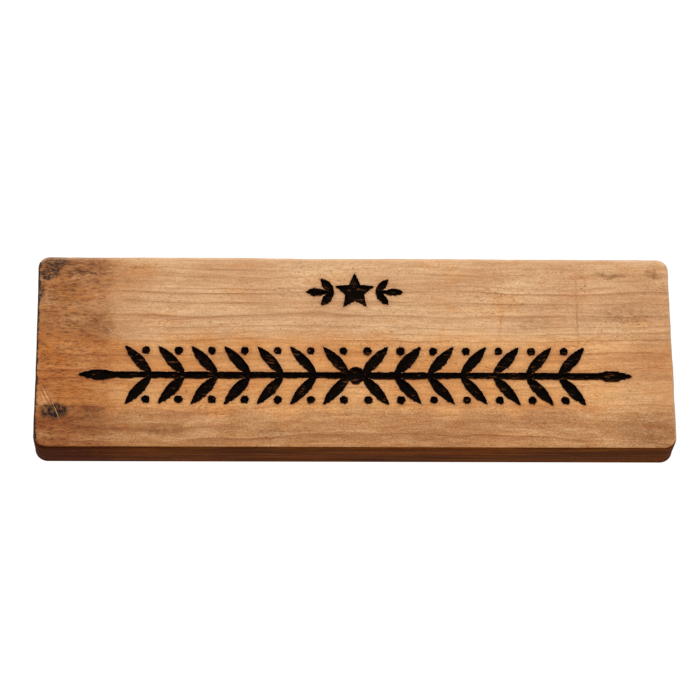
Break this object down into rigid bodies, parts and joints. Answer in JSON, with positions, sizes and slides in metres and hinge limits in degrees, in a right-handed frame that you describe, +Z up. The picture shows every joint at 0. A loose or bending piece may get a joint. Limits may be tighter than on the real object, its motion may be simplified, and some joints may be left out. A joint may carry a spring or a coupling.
{
  "type": "wooden wall plaque",
  "caption": "Rectangular softwood wall plaque with worn edges, a burned leaf garland and star on its face, swinging wire rings and rubber bumpers on its back.",
  "frame": {"origin": "on the wall plane that the four bumpers touch, straight behind the middle of the board", "axes": "+X along the board's length, to the right of someone facing the carving; +Z up; the carved face looks towards -Y and the wall is at y = 0"},
  "size_m": [0.3, 0.025, 0.097],
  "materials": {
    "wood": "oiled, reclaimed softwood",
    "strap_steel": "zinc plated",
    "ring_steel": "nickel plated wire",
    "screw_steel": "zinc plated",
    "bumper_rubber": "matt"
  },
  "bodies": {
    "plaque": {"board": "wood", "left_hanger_strap": "strap_steel", "right_hanger_strap": "strap_steel", "left_hanger_screw": "screw_steel", "right_hanger_screw": "screw_steel", "top_left_bumper": "bumper_rubber", "top_right_bumper": "bumper_rubber", "bottom_left_bumper": "bumper_rubber", "bottom_right_bumper": "bumper_rubber"},
    "left_ring": {"left_hanging_ring": "ring_steel"},
    "right_ring": {"right_hanging_ring": "ring_steel"}
  },
  "joints": [
    {"name": "left_ring_swing", "type": "hinge", "parent": "plaque", "child": "left_ring", "pos_m": [-0.105, -0.00315, 0.0265], "axis": [1, 0, 0], "range_deg": [0, 174]},
    {"name": "right_ring_swing", "type": "hinge", "parent": "plaque", "child": "right_ring", "pos_m": [0.105, -0.00315, 0.0265], "axis": [1, 0, 0], "range_deg": [0, 174]}
  ]
}
